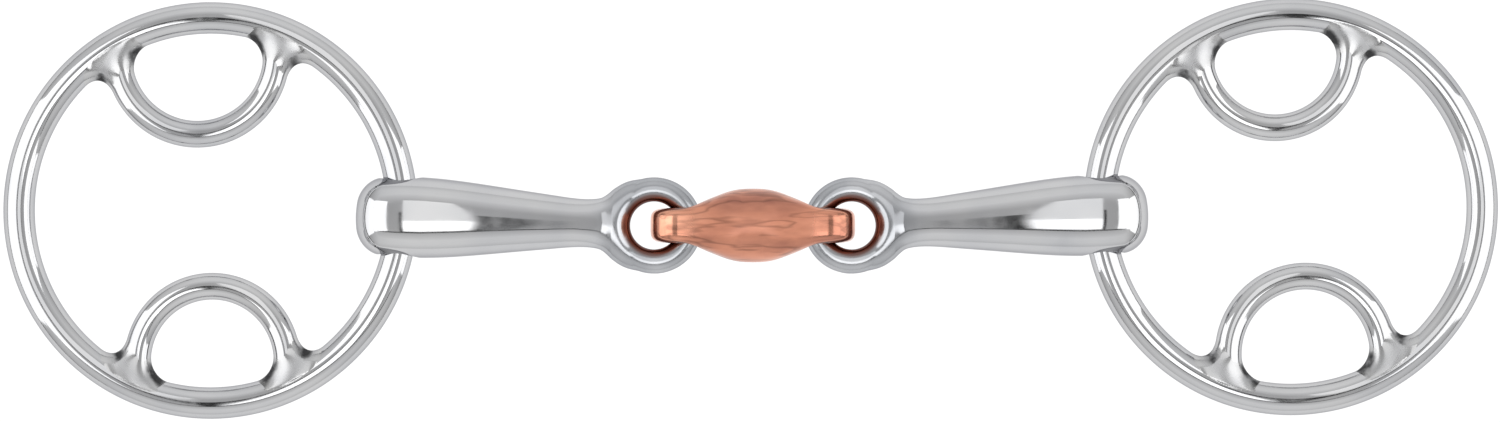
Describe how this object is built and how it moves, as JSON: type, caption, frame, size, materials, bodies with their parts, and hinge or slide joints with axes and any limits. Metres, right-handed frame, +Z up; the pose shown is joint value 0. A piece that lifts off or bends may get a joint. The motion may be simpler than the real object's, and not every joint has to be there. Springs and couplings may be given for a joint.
{
  "type": "snaffle bit",
  "caption": "Double-jointed snaffle bit: tapered steel cannons with a copper lozenge link between them, and round cheek rings that each have two welded strap loops inside.",
  "frame": {"origin": "on the surface that the bit lies on, under the middle of its overall length and width", "axes": "+X along the mouthpiece, +Y towards the cheekpiece loops, +Z up from the surface"},
  "size_m": [0.2844, 0.0798, 0.0154],
  "materials": {
    "polished_steel": "mirror polished stainless steel",
    "weld_steel": "polished weld with small pits",
    "copper_alloy": "satin copper alloy with a light tarnish"
  },
  "bodies": {
    "centre_link": {"centre_link": "copper_alloy"},
    "left_arm": {"left_cannon": "polished_steel", "left_eye_closing_weld": "polished_steel"},
    "left_cheek": {"left_cheek_ring": "polished_steel", "left_ring_closing_weld": "polished_steel", "left_upper_loop": "polished_steel", "left_upper_weld_inner": "weld_steel", "left_upper_weld_outer": "weld_steel", "left_lower_loop": "polished_steel", "left_lower_weld_inner": "weld_steel", "left_lower_weld_outer": "weld_steel"},
    "right_arm": {"right_cannon": "polished_steel", "right_eye_closing_weld": "polished_steel"},
    "right_cheek": {"right_cheek_ring": "polished_steel", "right_ring_closing_weld": "polished_steel", "right_upper_loop": "polished_steel", "right_upper_weld_inner": "weld_steel", "right_upper_weld_outer": "weld_steel", "right_lower_loop": "polished_steel", "right_lower_weld_inner": "weld_steel", "right_lower_weld_outer": "weld_steel"}
  },
  "joints": [
    {"name": "left_fold", "type": "hinge", "parent": "centre_link", "child": "left_arm", "pos_m": [-0.01194, -0.00319, 0.0077], "axis": [0, 1, 0], "range_deg": [-40, 40]},
    {"name": "right_fold", "type": "hinge", "parent": "centre_link", "child": "right_arm", "pos_m": [0.01274, -0.00319, 0.0077], "axis": [0, -1, 0], "range_deg": [-40, 40]},
    {"name": "left_ring_swing", "type": "hinge", "parent": "left_arm", "child": "left_cheek", "pos_m": [-0.06662, -0.00156, 0.0077], "axis": [0.0337, 0.9994, 0], "range_deg": [-90, 90]},
    {"name": "right_ring_swing", "type": "hinge", "parent": "right_arm", "child": "right_cheek", "pos_m": [0.06661, -0.00118, 0.0077], "axis": [0.0422, -0.9991, 0], "range_deg": [-90, 90]}
  ]
}
